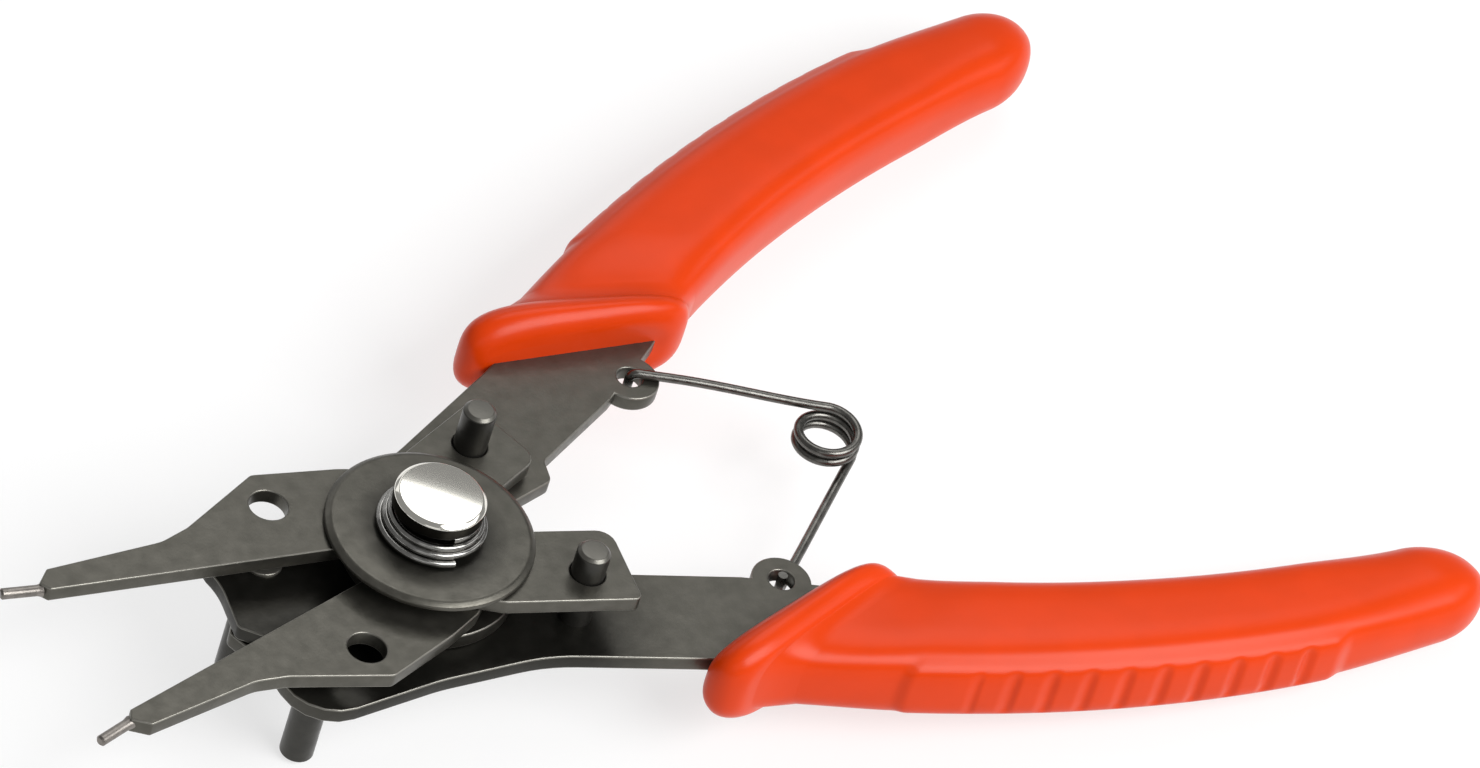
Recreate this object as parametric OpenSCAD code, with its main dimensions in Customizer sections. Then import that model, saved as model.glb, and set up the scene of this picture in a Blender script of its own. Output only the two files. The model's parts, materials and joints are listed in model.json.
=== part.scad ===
// Convertible circlip pliers with interchangeable jaws.
// The pivot axis is Z, +X runs to the handles and the tips point to -X.
// The upper handle lies at +Y and the lower handle at -Y.

/* [Plates] */
// Thickness of each stamped handle plate
plate_t = 2; // [1.5:0.1:3]
// Thickness of each jaw
jaw_t = 2; // [1.8:0.1:3]
// Running gap between flat faces that turn on each other
face_gap = 0.1; // [0.05:0.05:0.3]
// Radius of the round hub of each handle plate
hub_r = 11.5; // [10:0.1:12]
// Reach to the side of the upper plate's front lobe
upper_lobe = 11.6; // [11:0.1:15]
// Reach to the side of the lower plate's front lobe
lower_lobe = 14.9; // [11:0.1:15]
// Radius of the hub of each jaw
jaw_hub_r = 9.5; // [8:0.1:11]

/* [Pivot] */
// Outer radius of the pivot sleeve
sleeve_r = 5; // [4.5:0.1:6]
// Radius of the sliding post
post_r = 3; // [2.4:0.1:3.4]
// Radial clearance of every turning or sliding fit
run_clear = 0.05; // [0.02:0.01:0.1]
// Radius of the sleeve's bottom flange
sleeve_flange_r = 8; // [7:0.1:9]
// Thickness of the sleeve's bottom flange
sleeve_flange_t = 1.2; // [0.8:0.1:2]
// Radius of the washer between the plates and the jaws
washer_r = 8; // [7:0.1:9]
// Thickness of the washer between the plates and the jaws
washer_t = 0.8; // [0.6:0.1:1.5]
// Radius of the post's base flange
base_r = 9; // [7:0.1:10]
// Thickness of the post's base flange
base_t = 1.6; // [1.2:0.1:2.5]
// Radius of the post's two spigots
spigot_r = 2; // [1.5:0.1:2.2]

/* [Plunger] */
// Radius of the pressure disc
disc_r = 12.3; // [11:0.1:13]
// Thickness of the pressure disc
disc_t = 1.1; // [0.8:0.1:2]
// Radius of the knob
knob_r = 5.4; // [4.8:0.1:6]
// Height of the knob
knob_h = 2.2; // [1.8:0.1:3]
// Height of the spring between disc and knob
spring_h = 3.3; // [3:0.1:4.5]
// Wire diameter of the knob spring
knob_wire_d = 0.8; // [0.6:0.05:0.85]
// Turns of the knob spring
knob_turns = 2.9; // [2:0.1:3]
// Mean radius of the knob spring's bottom turn
knob_coil_r = 6.4; // [6.2:0.1:6.8]

/* [Pins] */
// Distance of the drive pins and jaw holes from the pivot axis
pin_circle_r = 18.6; // [18:0.1:19.2]
// Radius of the drive pins
pin_r = 2; // [1.7:0.1:2.2]
// Angle of the rear pins from the handles' centre line
rear_pin_angle = 40; // [37:0.5:42]
// Angle of the front pins from the tips' centre line
front_pin_angle = 22; // [21:0.5:24]
// Height of the rear pins' ends above the pressure disc
rear_pin_rise = 2.5; // [1:0.1:4]
// Depth of the front pins' ends below the base flange
front_pin_drop = 10.5; // [7:0.1:12]
// Radius of each pin's riveted spigot
rivet_r = 1.3; // [1:0.1:1.4]
// Radius of the upper front pin's neck, where it passes the lower plate
neck_r = 1.6; // [1.4:0.1:1.7]
// Gap between the lower plate and the shoulder under the neck
neck_gap = 0.6; // [0.4:0.1:1]

/* [Jaws] */
// Radial clearance of a jaw's holes on the drive pins
jaw_hole_clear = 0.1; // [0.05:0.05:0.3]
// Radius of a jaw's front hole
jaw_front_hole_r = 2.3; // [2.2:0.05:2.6]
// Radius of the exposed tip pins
tip_r = 0.65; // [0.5:0.05:0.8]
// Exposed length of the tip pins
tip_len = 5; // [3:0.1:8]
// Radius of the tip pins' flared roots
tip_root_r = 0.8; // [0.75:0.05:0.9]
// Length of the tip pins' flared roots
tip_root_len = 0.6; // [0.5:0.05:1]
// Radius of the tip pins' seats in the jaws
tip_seat_r = 0.35; // [0.25:0.01:0.4]
// Depth of the tip pins' seats
tip_seat_len = 4; // [3:0.1:6]

/* [Return spring] */
// Wire diameter of the return spring
return_wire_d = 1.15; // [0.8:0.05:1.3]
// Mean radius of the return spring's coil
return_coil_r = 3.5; // [2.8:0.1:4.2]
// Distance of the coil's centre from the pivot axis
return_coil_x = 59.4; // [57:0.1:62]
// Distance of the coil's centre to the upper handle's side
return_coil_y = 0.8; // [-1:0.1:1.5]
// Radius of the spring holes in the lugs
lug_hole_r = 1.55; // [1.3:0.05:1.8]
// Wall of a lug round its hole
lug_wall = 2.05; // [1.5:0.05:2.5]

/* [Grips] */
// Half thickness of a grip at its middle
grip_half_t = 5.5; // [4.6:0.1:6]
// Half thickness of a grip at its end
grip_end_half_t = 5; // [4.2:0.1:5.4]
// Extra half thickness of the guard's lip
guard_lip = 0.9; // [0.5:0.05:1.3]
// Height of the raised finger pad
pad_h = 1.1; // [0.4:0.1:1.4]
// Length of a grip's rounded end
grip_end_len = 8.3; // [5:0.1:10]
// Distance of the grips' ends from the pivot axis
grip_reach = 122; // [112:0.1:130]
// Distance of a grip's outer edge from the centre line
grip_spread = 53; // [50:0.1:58]

/* [Hidden] */
$fn = 64;

// Levels up the pivot axis, from the underside of the base flange at zero
sleeve_z = base_t + face_gap;
low_plate_z = sleeve_z + sleeve_flange_t + face_gap;
up_plate_z = low_plate_z + plate_t + face_gap;
low_jaw_z = up_plate_z + plate_t + washer_t;
up_jaw_z = low_jaw_z + jaw_t + face_gap;
sleeve_top = up_jaw_z + jaw_t;
disc_z = sleeve_top + face_gap;
disc_top = disc_z + disc_t;
knob_z = disc_top + spring_h;
rear_pin_top = disc_top + rear_pin_rise;
front_pin_end = -front_pin_drop;

// Pins and holes in plan, for the upper half
rear_pin = pin_circle_r * [cos(rear_pin_angle), sin(rear_pin_angle)];
front_pin = pin_circle_r * [-cos(front_pin_angle), sin(front_pin_angle)];
jaw_front_hole_angle = 35.6;
jaw_front_hole = pin_circle_r * [-cos(jaw_front_hole_angle), sin(jaw_front_hole_angle)];
lug = [40.9, 16.4];
lug_r = lug_hole_r + lug_wall;

// Small edge breaks and rivet heads
pin_chamfer = 0.4;
rivet_head_h = 0.4;
disc_edge = 0.35;
knob_edge = 0.45;
knob_socket = 1.5;
tip_axis_angle = 14;
tip_point = [-46.4, 9.8];

// The edge of a plate's front lobe stands this far from the other plate's front pin and stops the opening there
stop_gap = 0.22;
stop_edge_y = pin_circle_r * sin(front_pin_angle) - neck_r - stop_gap;

function unit(v) = v / norm(v);
function mix(a, b, t) = a * (1 - t) + b * t;
function flip(v) = [v.x, -v.y];

// One corner [x, y, r] of an outline, rounded by an arc of radius r
function corner_arc(before, at, after, r, steps = 5) =
    let (p = [at.x, at.y])
    let (u = unit([before.x, before.y] - p))
    let (w = unit([after.x, after.y] - p))
    let (half = acos(u * w) / 2)
    let (centre = p + unit(u + w) * r / sin(half))
    let (start = p + u * r / tan(half) - centre)
    let (end = p + w * r / tan(half) - centre)
    let (a0 = atan2(start.y, start.x))
    let (turn = (atan2(end.y, end.x) - a0 + 540) % 360 - 180)
    [for (i = [0 : steps]) centre + r * [cos(a0 + turn * i / steps), sin(a0 + turn * i / steps)]];

function rounded(points) = let (n = len(points)) [
    for (i = [0 : n - 1])
    let (arc = points[i].z == 0 ? [[points[i].x, points[i].y]]
        : corner_arc(points[(i + n - 1) % n], points[i], points[(i + 1) % n], points[i].z))
    for (p = arc) p];

// The handles' drawn size, and how a place [x, y, ...] behind the guard moves with their reach and spread
drawn_reach = 122;
drawn_spread = 53;
guard_x = 22;
spread_from = 30;
spread_over = 60;
function ramp(t) = let (s = min(1, max(0, t))) s * s * (3 - 2 * s);
function place(p) =
    let (x = guard_x + (p.x - guard_x) * (grip_reach - guard_x) / (drawn_reach - guard_x))
    let (y = p.y + (grip_spread - drawn_spread) * ramp((p.x - spread_from) / spread_over))
    len(p) == 3 ? [x, y, p.z] : [x, y];

// Corners of a handle plate, each with its rounding radius, for a front lobe that reaches so far to the side
body_corners = [
    [-23.6, 6, 10], [-25.4, -0.6, 1], [-22.8, -3.4, 1.5], [-19.5, -stop_edge_y, 2],
    [-7, -stop_edge_y, 0], [7, -4, 0], [15, 4.1, 2], [22.4, 5.6, 1.2], [23.4, 8.6, 1], [36.6, 14.2, 1]];
tang_corners = [
    [46.5, 19.8, 0], [60, 29, 20], [84, 38.8, 30], [106, 43.2, 2], [107.5, 48, 2], [86, 46.8, 30], [60, 39.5, 20]];
arm_corners = [[24.4, 23.3, 10], [8, 16.4, 25]];
function plate_corners(lobe) = concat([[-24.3, lobe, min(6, (lobe - 8) / 1.15)]], body_corners,
    [for (p = tang_corners) place(p)], arm_corners, [[-6, lobe, 30]]);

// Corners of the upper jaw, seen from above
jaw_corners = [
    [-46, 8.8, 0.3], [-9, 1.6, 0], [-5, -7, 0], [2.6, -12.4, 3], [18.1, -17.9, 0.8], [20.7, -7.2, 2.2],
    [9, -3, 0], [7, 6, 0], [0, 11.2, 0], [-4.5, 12.9, 4], [-14.5, 15.7, 1.2], [-26, 11.3, 4],
    [-30, 10.5, 6], [-44.8, 11.7, 0.4], [-46.8, 10.1, 0.3]];

// Two rails of a grip in plan, from the guard to the rounded end
outer_points = [[31.5, 29.6], [53, 40.8], [82, 51.7], [114, 52.6]];
inner_points = [[54, 23.2], [70, 31.9], [90, 37.9], [113, 40.8]];
outer_rail = [for (p = outer_points) place(p)];
inner_rail = [for (p = inner_points) place(p)];
rail_start = 0.03;
rail_steps = 22;
pad_start = 0.19;
pad_end = 0.85;
pad_ramp = 0.02;
section_sides = 24;
section_power = 0.55;
cap_steps = 6;

// The guard at the front of a grip: the inner end, the outer end and the half thickness of each section
neck_half_t = grip_half_t - 0.35;
guard_inner = [[47.6, 20.3], [49, 19.9], [50.3, 20], [51.6, 20.5], [52.5, 21.2], [53.1, 22], [53.4, 22.5]];
guard_outer = [[25.3, 24.4], [24.2, 25.2], [23.7, 26.3], [23.9, 27.7], [24.8, 28.9], [26.4, 29.6], [28.6, 29.4]];
guard_half = [grip_half_t * 0.52, grip_half_t * 0.8, grip_half_t + guard_lip * 0.15, grip_half_t + guard_lip,
    grip_half_t + guard_lip * 0.85, grip_half_t + guard_lip * 0.2, neck_half_t];
guard_sections = [for (i = [0 : len(guard_half) - 1]) [place(guard_inner[i]), place(guard_outer[i]), guard_half[i]]];

function bezier(p, t) = p[0] * pow(1 - t, 3) + p[1] * 3 * t * pow(1 - t, 2)
    + p[2] * 3 * t * t * (1 - t) + p[3] * pow(t, 3);
function pad(t) = pad_h * ramp((t - pad_start) / pad_ramp) * ramp((pad_end - t) / pad_ramp);

// Section of a grip at t along its rails: inner point, outer point, half thickness
function rail_section(t) =
    let (inner = bezier(inner_rail, t))
    let (outer = bezier(outer_rail, t))
    [inner, outer + unit(outer - inner) * pad(t),
        mix(mix(grip_half_t, neck_half_t, ramp((0.2 - t) / 0.15)), grip_end_half_t, ramp((t - 0.4) / 0.6))];

// Places along the rails, with the pad's two steps met exactly
rail_places = [
    for (i = [0 : rail_steps]) let (t = rail_start + (1 - rail_start) * i / rail_steps)
    if (abs(t - pad_start) > 0.015 && abs(t - pad_end) > 0.015) t];
step_places = [pad_start, pad_start + pad_ramp, pad_end - pad_ramp, pad_end];
function merge(a, b) = len(a) == 0 ? b : len(b) == 0 ? a
    : a[0] < b[0] ? concat([a[0]], merge([for (i = [1 : 1 : len(a) - 1]) a[i]], b))
    : concat([b[0]], merge(a, [for (i = [1 : 1 : len(b) - 1]) b[i]]));

// Sections of the rounded end, each narrower and further out than the last
end_section = rail_section(1);
end_heading = unit((outer_rail[3] - outer_rail[2]) + (inner_rail[3] - inner_rail[2]));
function cap_section(i) =
    let (a = 84 * i / cap_steps)
    let (centre = (end_section[0] + end_section[1]) / 2 + end_heading * grip_end_len * sin(a))
    let (half = (end_section[1] - end_section[0]) / 2 * cos(a))
    [centre - half, centre + half, end_section[2] * mix(1, cos(a), 0.8)];

grip_sections = concat(guard_sections,
    [for (t = merge(rail_places, step_places)) rail_section(t)],
    [for (i = [1 : cap_steps]) cap_section(i)]);

// Ring of points round one grip section, at mid height z
function round_power(v) = sign(v) * pow(abs(v), section_power);
function section_ring(s, z) =
    let (centre = (s[0] + s[1]) / 2)
    let (half = (s[1] - s[0]) / 2)
    [for (i = [0 : section_sides - 1])
        let (a = 360 * i / section_sides)
        let (p = centre + half * round_power(cos(a)))
        [p.x, p.y, z + s[2] * round_power(sin(a))]];

// Closed skin over rings of equal size, in order along the piece
module skin(rings) {
    n = len(rings[0]);
    last = len(rings) - 1;
    points = [for (r = rings) for (p = r) p];
    sides = [for (i = [0 : last - 1]) for (j = [0 : n - 1])
        let (k = (j + 1) % n)
        for (f = [[i * n + j, i * n + k, (i + 1) * n + k], [i * n + j, (i + 1) * n + k, (i + 1) * n + j]]) f];
    polyhedron(points, concat(
        [[for (j = [0 : n - 1]) n - 1 - j]], sides, [[for (j = [0 : n - 1]) last * n + j]]), convexity = 6);
}

// Round wire along a path, with rings that turn as little as they can
module wire(path, d, sides = 10) {
    n = len(path);
    heading = [for (i = [0 : n - 1]) unit(path[min(i + 1, n - 1)] - path[max(i - 1, 0)])];
    first = unit(cross(heading[0], [0.31, 0.83, 0.47]));
    normals = [for (i = 0, v = first; i < n; i = i + 1,
        v = i < n ? unit(v - heading[i] * (v * heading[i])) : v) v];
    skin([for (i = [0 : n - 1]) let (v = normals[i], w = cross(heading[i], normals[i]))
        [for (j = [0 : sides - 1]) path[i] - d / 2 * (v * cos(360 * j / sides) - w * sin(360 * j / sides))]]);
}

// Flat stamping with its outline, hub, lug and holes, in the upper handle's place
module handle_plate_shape(lobe) {
    difference() {
        linear_extrude(plate_t)
            union() {
                polygon(rounded(plate_corners(lobe)));
                circle(hub_r);
                translate(lug) circle(lug_r);
            }
        translate([0, 0, -1]) cylinder(r = sleeve_r + run_clear, h = plate_t + 2);
        translate([lug.x, lug.y, -1]) cylinder(r = lug_hole_r, h = plate_t + 2);
        for (p = [rear_pin, front_pin]) translate([p.x, p.y, -1]) cylinder(r = rivet_r, h = plate_t + 2);
    }
}

module upper_handle_plate() {
    color([0.25, 0.25, 0.23]) translate([0, 0, up_plate_z]) handle_plate_shape(upper_lobe);
}

module lower_handle_plate() {
    color([0.25, 0.25, 0.23]) translate([0, 0, low_plate_z]) mirror([0, 1, 0]) handle_plate_shape(lower_lobe);
}

// Moulded grip round the tang of a plate whose underside is at z
module grip_shape(z) {
    difference() {
        skin([for (s = grip_sections) section_ring(s, z + plate_t / 2)]);
        translate([0, 0, z]) linear_extrude(plate_t) polygon(rounded(plate_corners(lower_lobe)));
    }
}

module upper_grip() {
    color([0.9, 0.25, 0.12]) grip_shape(up_plate_z);
}

module lower_grip() {
    color([0.9, 0.25, 0.12]) mirror([0, 1, 0]) grip_shape(low_plate_z);
}

// Drive pin on a riveted spigot: the plate's near face is at z, the pin runs to end past a neck
module drive_pin(at, z, end, spigot, neck = 0) {
    length = abs(end - z);
    foot = neck > 0 ? [[neck_r, 0], [neck_r, neck], [pin_r, neck]] : [[pin_r, 0]];
    translate([at.x, at.y, z]) rotate([end > z ? 0 : 180, 0, 0]) rotate_extrude()
        polygon(concat([[0, -spigot], [rivet_r, -spigot], [rivet_r, 0]], foot,
            [[pin_r, length - pin_chamfer], [pin_r - pin_chamfer, length], [0, length]]));
}

module upper_rear_pin() {
    color([0.2, 0.2, 0.19]) drive_pin(rear_pin, up_plate_z + plate_t, rear_pin_top, plate_t);
}

module lower_rear_pin() {
    color([0.2, 0.2, 0.19]) drive_pin(flip(rear_pin), low_plate_z + plate_t, rear_pin_top, plate_t);
}

module upper_front_pin() {
    color([0.2, 0.2, 0.19]) drive_pin(front_pin, up_plate_z, front_pin_end, plate_t + rivet_head_h,
        up_plate_z - low_plate_z + neck_gap);
}

module lower_front_pin() {
    color([0.2, 0.2, 0.19]) drive_pin(flip(front_pin), low_plate_z, front_pin_end, plate_t + rivet_head_h);
}

// Children moved from the X axis to the tip's axis, in the middle of the jaw's thickness
module on_tip_axis() {
    translate([tip_point.x, tip_point.y, jaw_t / 2]) rotate([0, 0, 180 - tip_axis_angle]) rotate([0, 90, 0])
        children();
}

// Jaw in the upper jaw's place, lying on z = 0
module jaw_shape() {
    difference() {
        linear_extrude(jaw_t)
            union() {
                polygon(rounded(jaw_corners));
                circle(jaw_hub_r);
            }
        translate([0, 0, -1]) cylinder(r = sleeve_r + run_clear, h = jaw_t + 2);
        translate([jaw_front_hole.x, jaw_front_hole.y, -1]) cylinder(r = jaw_front_hole_r, h = jaw_t + 2);
        translate([rear_pin.x, -rear_pin.y, -1]) cylinder(r = pin_r + jaw_hole_clear, h = jaw_t + 2);
        on_tip_axis() translate([0, 0, -tip_seat_len]) cylinder(r = tip_seat_r, h = tip_seat_len + 1, $fn = 32);
        on_tip_axis() cylinder(r = tip_root_r, h = tip_len, $fn = 32);
    }
}

module upper_jaw() {
    color([0.28, 0.28, 0.25]) translate([0, 0, up_jaw_z]) jaw_shape();
}

module lower_jaw() {
    color([0.28, 0.28, 0.25]) translate([0, 0, low_jaw_z]) mirror([0, 1, 0]) jaw_shape();
}

// Tip pin with a thicker seat in the jaw
module tip_shape() {
    on_tip_axis() rotate_extrude($fn = 32)
        polygon([[0, -tip_seat_len], [tip_seat_r, -tip_seat_len], [tip_seat_r, 0], [tip_root_r, 0],
            [tip_r, tip_root_len], [tip_r, tip_len - tip_r / 3], [tip_r * 2 / 3, tip_len], [0, tip_len]]);
}

module upper_tip() {
    color([0.45, 0.43, 0.42]) translate([0, 0, up_jaw_z]) tip_shape();
}

module lower_tip() {
    color([0.45, 0.43, 0.42]) translate([0, 0, low_jaw_z]) mirror([0, 1, 0]) tip_shape();
}

module pivot_sleeve() {
    color("silver") rotate_extrude() polygon([
        [post_r + run_clear, sleeve_z], [sleeve_flange_r, sleeve_z], [sleeve_flange_r, sleeve_z + sleeve_flange_t],
        [sleeve_r, sleeve_z + sleeve_flange_t], [sleeve_r, sleeve_top], [post_r + run_clear, sleeve_top]]);
}

module jaw_washer() {
    color("silver") translate([0, 0, low_jaw_z - washer_t]) difference() {
        cylinder(r = washer_r, h = washer_t);
        translate([0, 0, -1]) cylinder(r = sleeve_r + run_clear, h = washer_t + 2);
    }
}

module plunger_post() {
    color("silver") rotate_extrude() polygon([
        [0, 0], [spigot_r, 0], [spigot_r, base_t], [post_r, base_t], [post_r, knob_z],
        [spigot_r, knob_z], [spigot_r, knob_z + knob_socket], [0, knob_z + knob_socket]]);
}

module base_flange() {
    color([0.3, 0.3, 0.28]) rotate_extrude() polygon([
        [spigot_r, 0], [base_r - disc_edge, 0], [base_r, disc_edge], [base_r, base_t], [spigot_r, base_t]]);
}

module plunger_knob() {
    color([0.9, 0.89, 0.85]) rotate_extrude() polygon([
        [spigot_r, knob_z], [knob_r, knob_z], [knob_r, knob_z + knob_h - knob_edge],
        [knob_r - knob_edge, knob_z + knob_h], [0, knob_z + knob_h], [0, knob_z + knob_socket],
        [spigot_r, knob_z + knob_socket]]);
}

module pressure_disc() {
    color([0.26, 0.26, 0.24]) rotate_extrude($fn = 128) polygon([
        [post_r + run_clear, disc_z], [disc_r, disc_z], [disc_r, disc_top - disc_edge],
        [disc_r - disc_edge, disc_top], [post_r + run_clear, disc_top]]);
}

// Conical coil from the disc up to the knob, with its end turns lying flat
knob_rings_per_turn = 24;
knob_coil_top_r = knob_r - knob_wire_d / 2 - 0.2;
knob_coil_z0 = disc_top + knob_wire_d / 2 + 0.03;
knob_coil_z1 = knob_z - knob_wire_d / 2 - 0.03;
module knob_spring() {
    rings = ceil(knob_turns * knob_rings_per_turn);
    color("silver") wire([for (i = [0 : rings])
        let (t = i / rings)
        let (a = -100 + 360 * knob_turns * t)
        let (r = mix(knob_coil_r, knob_coil_top_r, t))
        [r * cos(a), r * sin(a), mix(knob_coil_z0, knob_coil_z1, mix(t, ramp(t), 0.3))]], knob_wire_d, 8);
}

// Wire torsion spring: hooked down into the upper lug, round its coil, and up into the lower lug from below.
// It is drawn as two halves that meet in the middle of the coil, so that its legs can swing and wind it.
return_leg_gap = 0.1;
return_turn_gap = 0.25;
return_split = 3;
return_steps = 20;
return_flat = 5;
hook_bend = 0.9;
hook_depth = 3.4;
return_upper_z = up_plate_z + plate_t + return_wire_d / 2 + return_leg_gap;
return_lower_z = low_plate_z - return_wire_d / 2 - return_leg_gap;
return_mid_z = (return_upper_z + return_lower_z) / 2;
return_pitch = return_wire_d + return_turn_gap;
coil_centre = [return_coil_x, return_coil_y];

// Angle where a leg from a hole leaves the coil, on the given side
function leave_angle(hole, side) =
    let (arm = hole - coil_centre)
    atan2(arm.y, arm.x) - side * acos(return_coil_r / norm(arm));
leave_upper = leave_angle(lug, 1);
leave_lower = leave_angle(flip(lug), -1);
return_sweep = leave_upper - leave_lower + 720;

// Point of the coil after turning by a degrees from the upper leg
function coil_point(a) =
    let (w = leave_upper - a)
    [coil_centre.x + return_coil_r * cos(w), coil_centre.y + return_coil_r * sin(w),
        return_mid_z + return_pitch * (return_sweep / 2 - a) / 360];

// A hook and the flat start of its leg, towards the coil
function hook_path(hole, tangent, z, side) =
    let (leg = unit([tangent.x, tangent.y] - hole))
    concat([[hole.x, hole.y, z - side * hook_depth]],
        [for (a = [0 : 30 : 90])
            let (p = hole + leg * hook_bend * (1 - cos(a)))
            [p.x, p.y, z - side * hook_bend * (1 - sin(a))]],
        [concat(hole + leg * return_flat, z)]);

module spring_half(hook, from, to) {
    steps = ceil(abs(to - from) / 360 * return_steps);
    color([0.5, 0.49, 0.47]) wire(concat(hook,
        [for (i = [0 : steps]) coil_point(mix(from, to, i / steps))]), return_wire_d, 8);
}

module return_spring_upper() {
    spring_half(hook_path(lug, coil_point(0), return_upper_z, 1), 0, return_sweep / 2);
}

module return_spring_lower() {
    spring_half(hook_path(flip(lug), coil_point(return_sweep), return_lower_z, -1),
        return_sweep, return_sweep / 2 + return_split);
}

upper_handle_plate();
lower_handle_plate();
upper_grip();
lower_grip();
upper_rear_pin();
lower_rear_pin();
upper_front_pin();
lower_front_pin();
upper_jaw();
lower_jaw();
upper_tip();
lower_tip();
pivot_sleeve();
jaw_washer();
plunger_post();
base_flange();
plunger_knob();
pressure_disc();
knob_spring();
return_spring_upper();
return_spring_lower();
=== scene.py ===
# %% [markdown]
# # Convertible circlip pliers
# A learner's walk through the looks of a small pair of circlip pliers: two stamped dark steel plates,
# two flat jaws with round tips, moulded grips, a spring-loaded knob and a wire return spring.
# The CAD model gives the shapes and how they move. Here each piece gets its edges, finish and light.

# %% Start
import json
import math

import bmesh
import bpy
import numpy as np
from mathutils import Matrix, Vector


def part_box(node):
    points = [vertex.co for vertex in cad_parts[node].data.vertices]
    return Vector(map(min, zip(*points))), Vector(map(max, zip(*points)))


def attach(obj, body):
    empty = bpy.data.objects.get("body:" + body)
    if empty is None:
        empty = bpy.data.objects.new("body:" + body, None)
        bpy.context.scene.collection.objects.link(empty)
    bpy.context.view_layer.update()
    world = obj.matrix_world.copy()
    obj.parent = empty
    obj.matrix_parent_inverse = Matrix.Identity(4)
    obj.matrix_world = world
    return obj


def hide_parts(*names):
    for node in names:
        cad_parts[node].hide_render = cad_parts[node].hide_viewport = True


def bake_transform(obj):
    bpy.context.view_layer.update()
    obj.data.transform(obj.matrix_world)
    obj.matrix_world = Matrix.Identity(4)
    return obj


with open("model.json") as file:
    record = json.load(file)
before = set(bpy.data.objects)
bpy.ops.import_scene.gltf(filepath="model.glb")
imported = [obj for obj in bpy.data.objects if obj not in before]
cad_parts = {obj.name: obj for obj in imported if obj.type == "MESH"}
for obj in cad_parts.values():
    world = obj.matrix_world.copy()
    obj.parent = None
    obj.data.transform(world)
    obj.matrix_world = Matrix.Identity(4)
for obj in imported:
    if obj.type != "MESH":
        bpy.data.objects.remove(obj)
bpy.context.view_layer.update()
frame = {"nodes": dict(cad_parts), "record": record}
nodes = frame["nodes"]
MM = 0.001


def in_mm(lengths):
    """Lengths in metres as rounded millimetres, for printing."""
    return [round(x / MM, 1) for x in lengths]


# %% [markdown]
# ## Small helpers
# A mesh is made from points and faces, shaded smooth but kept sharp at real edges, and then tied to
# the body it moves with. Doing this in one place keeps every later step short.
# The pieces' places and sizes are written in millimetres, as on a drawing, and become metres in the meshes.

# %% Mesh helpers
SEAM = 2e-6  # metres; points that are nearer than this are one point


def new_mesh(name, points, faces, sharp):
    """A mesh from points in mm, smooth but for edges that are sharper than an angle in degrees."""
    mesh = bpy.data.meshes.new(name)
    mesh.from_pydata([tuple(p) for p in np.asarray(points) * MM], [], [tuple(f) for f in faces])
    mesh.validate()
    mesh.shade_smooth()
    mesh.set_sharp_from_angle(angle=math.radians(sharp))
    mesh.update()
    return mesh


def merge_seams(mesh):
    """Merges doubled points and turns the faces outwards."""
    bm = bmesh.new()
    bm.from_mesh(mesh)
    bmesh.ops.remove_doubles(bm, verts=bm.verts, dist=SEAM)
    bmesh.ops.recalc_face_normals(bm, faces=bm.faces)
    bm.to_mesh(mesh)
    bm.free()


def smooth(t):
    """A smooth step from 0 at t = 0 to 1 at t = 1."""
    t = np.clip(t, 0, 1)
    return t * t * (3 - 2 * t)


# %% CAD helpers
def box_mm(node):
    """The lowest and highest corners of a CAD node, in mm."""
    low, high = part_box(node)
    return np.array(low) / MM, np.array(high) / MM


def cad_mesh(node):
    """Points in mm and triangles of a CAD node, in the shared frame and with doubles merged."""
    source = nodes[node]
    bm = bmesh.new()
    bm.from_mesh(source.data)
    bm.transform(source.matrix_world)
    bmesh.ops.remove_doubles(bm, verts=bm.verts, dist=SEAM)
    bmesh.ops.triangulate(bm, faces=bm.faces)
    bm.verts.index_update()
    points = np.array([v.co for v in bm.verts]) / MM
    faces = [[v.index for v in f.verts] for f in bm.faces]
    bm.free()
    return points, faces


def free_piece(name, mesh, material):
    """A piece at the origin with its finish, and no body yet."""
    obj = bpy.data.objects.new(name, mesh)
    bpy.context.scene.collection.objects.link(obj)
    mesh.materials.clear()
    mesh.materials.append(material)
    return obj


def piece(name, mesh, material, body, node):
    """A piece that moves with a body and stands for a CAD node."""
    obj = free_piece(name, mesh, material)
    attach(obj, body)
    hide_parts(node)
    return obj


plate_top = box_mm("upper_handle_plate")[1][2]
plate_bottom = box_mm("lower_handle_plate")[0][2]
print("the two plates reach from z", round(plate_bottom, 1), "to", round(plate_top, 1), "mm")


# %% [markdown]
# ## Tools for the finishes
# Every finish is worked out from position, never from a picture, so it holds from any side.
# A few tools are enough: a noise for grain, a ramp that turns it into colours, a bump for fine relief,
# and a mark on a mesh's faces that says where they are worn, or painted lighter or darker as painted light
# and shade.

# %% Finish tools
def shader(name, **sockets):
    """A material, its node tree and its main shader, whose sockets are set by name."""
    material = bpy.data.materials.new(name)
    material.use_nodes = True
    surface = material.node_tree.nodes["Principled BSDF"]
    for key, value in sockets.items():
        surface.inputs[key.replace("_", " ")].default_value = value
    return material, material.node_tree, surface


def grain(tree, cells, detail=3.0):
    """Noise on object coordinates, with so many cells in a metre, as a value from 0 to 1."""
    coords = tree.nodes.new("ShaderNodeTexCoord")
    noise = tree.nodes.new("ShaderNodeTexNoise")
    noise.inputs["Scale"].default_value = cells
    noise.inputs["Detail"].default_value = detail
    tree.links.new(coords.outputs["Object"], noise.inputs["Vector"])
    return noise.outputs["Fac"]


def ramp(tree, value, low, high, start=0.35, end=0.65):
    """A colour that goes from low to high while the value goes from start to end."""
    node = tree.nodes.new("ShaderNodeValToRGB")
    for stop, place, colour in zip(node.color_ramp.elements, (start, end), (low, high)):
        stop.position = place
        stop.color = (*colour, 1)
    tree.links.new(value, node.inputs["Fac"])
    return node.outputs["Color"]


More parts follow.
